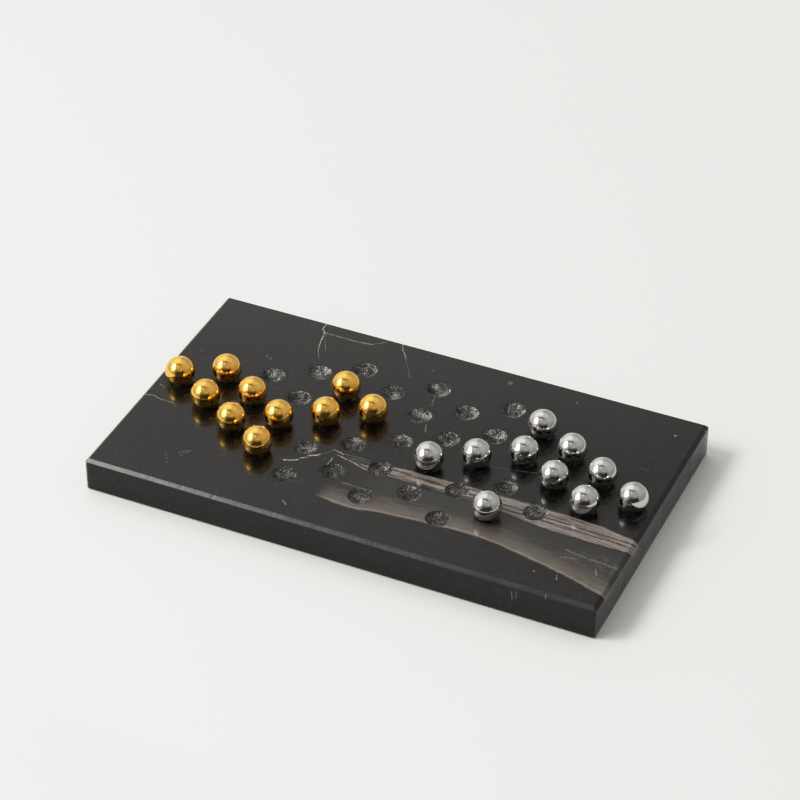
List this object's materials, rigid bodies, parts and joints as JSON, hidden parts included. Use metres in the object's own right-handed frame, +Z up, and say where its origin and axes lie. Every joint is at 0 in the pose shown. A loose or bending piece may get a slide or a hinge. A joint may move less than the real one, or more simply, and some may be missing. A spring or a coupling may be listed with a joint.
{
  "type": "chinese checkers board",
  "caption": "Polished black marble slab with a triangular grid of shallow pits and loose gold and silver metal balls in mid-game, on thin round feet.",
  "frame": {"origin": "centre of the footprint, on the surface that the feet stand on", "axes": "+X along the slab's long sides towards the silver player's end, +Y across the slab, +Z up out of the pits"},
  "size_m": [0.29, 0.1666, 0.0344],
  "materials": {
    "black_marble": "polished",
    "gold_metal": "polished",
    "silver_metal": "polished",
    "foot_rubber": "matte"
  },
  "bodies": {
    "slab": {"board": "black_marble", "foot_front_left": "foot_rubber", "foot_front_right": "foot_rubber", "foot_back_left": "foot_rubber", "foot_back_right": "foot_rubber"},
    "gold_ball_1": {"gold_ball_1": "gold_metal"},
    "gold_ball_2": {"gold_ball_2": "gold_metal"},
    "gold_ball_3": {"gold_ball_3": "gold_metal"},
    "gold_ball_4": {"gold_ball_4": "gold_metal"},
    "gold_ball_5": {"gold_ball_5": "gold_metal"},
    "gold_ball_6": {"gold_ball_6": "gold_metal"},
    "gold_ball_7": {"gold_ball_7": "gold_metal"},
    "gold_ball_8": {"gold_ball_8": "gold_metal"},
    "gold_ball_9": {"gold_ball_9": "gold_metal"},
    "gold_ball_10": {"gold_ball_10": "gold_metal"},
    "silver_ball_1": {"silver_ball_1": "silver_metal"},
    "silver_ball_2": {"silver_ball_2": "silver_metal"},
    "silver_ball_3": {"silver_ball_3": "silver_metal"},
    "silver_ball_4": {"silver_ball_4": "silver_metal"},
    "silver_ball_5": {"silver_ball_5": "silver_metal"},
    "silver_ball_6": {"silver_ball_6": "silver_metal"},
    "silver_ball_7": {"silver_ball_7": "silver_metal"},
    "silver_ball_8": {"silver_ball_8": "silver_metal"},
    "silver_ball_9": {"silver_ball_9": "silver_metal"},
    "silver_ball_10": {"silver_ball_10": "silver_metal"}
  },
  "joints": [
    {"name": "gold_ball_1_lift", "type": "slide", "parent": "slab", "child": "gold_ball_1", "axis": [0, 0, 1], "range_m": [0, 0.04]},
    {"name": "gold_ball_2_lift", "type": "slide", "parent": "slab", "child": "gold_ball_2", "axis": [0, 0, 1], "range_m": [0, 0.04]},
    {"name": "gold_ball_3_lift", "type": "slide", "parent": "slab", "child": "gold_ball_3", "axis": [0, 0, 1], "range_m": [0, 0.04]},
    {"name": "gold_ball_4_lift", "type": "slide", "parent": "slab", "child": "gold_ball_4", "axis": [0, 0, 1], "range_m": [0, 0.04]},
    {"name": "gold_ball_5_lift", "type": "slide", "parent": "slab", "child": "gold_ball_5", "axis": [0, 0, 1], "range_m": [0, 0.04]},
    {"name": "gold_ball_6_lift", "type": "slide", "parent": "slab", "child": "gold_ball_6", "axis": [0, 0, 1], "range_m": [0, 0.04]},
    {"name": "gold_ball_7_lift", "type": "slide", "parent": "slab", "child": "gold_ball_7", "axis": [0, 0, 1], "range_m": [0, 0.04]},
    {"name": "gold_ball_8_lift", "type": "slide", "parent": "slab", "child": "gold_ball_8", "axis": [0, 0, 1], "range_m": [0, 0.04]},
    {"name": "gold_ball_9_lift", "type": "slide", "parent": "slab", "child": "gold_ball_9", "axis": [0, 0, 1], "range_m": [0, 0.04]},
    {"name": "gold_ball_10_lift", "type": "slide", "parent": "slab", "child": "gold_ball_10", "axis": [0, 0, 1], "range_m": [0, 0.04]},
    {"name": "silver_ball_1_lift", "type": "slide", "parent": "slab", "child": "silver_ball_1", "axis": [0, 0, 1], "range_m": [0, 0.04]},
    {"name": "silver_ball_2_lift", "type": "slide", "parent": "slab", "child": "silver_ball_2", "axis": [0, 0, 1], "range_m": [0, 0.04]},
    {"name": "silver_ball_3_lift", "type": "slide", "parent": "slab", "child": "silver_ball_3", "axis": [0, 0, 1], "range_m": [0, 0.04]},
    {"name": "silver_ball_4_lift", "type": "slide", "parent": "slab", "child": "silver_ball_4", "axis": [0, 0, 1], "range_m": [0, 0.04]},
    {"name": "silver_ball_5_lift", "type": "slide", "parent": "slab", "child": "silver_ball_5", "axis": [0, 0, 1], "range_m": [0, 0.04]},
    {"name": "silver_ball_6_lift", "type": "slide", "parent": "slab", "child": "silver_ball_6", "axis": [0, 0, 1], "range_m": [0, 0.04]},
    {"name": "silver_ball_7_lift", "type": "slide", "parent": "slab", "child": "silver_ball_7", "axis": [0, 0, 1], "range_m": [0, 0.04]},
    {"name": "silver_ball_8_lift", "type": "slide", "parent": "slab", "child": "silver_ball_8", "axis": [0, 0, 1], "range_m": [0, 0.04]},
    {"name": "silver_ball_9_lift", "type": "slide", "parent": "slab", "child": "silver_ball_9", "axis": [0, 0, 1], "range_m": [0, 0.04]},
    {"name": "silver_ball_10_lift", "type": "slide", "parent": "slab", "child": "silver_ball_10", "axis": [0, 0, 1], "range_m": [0, 0.04]}
  ]
}
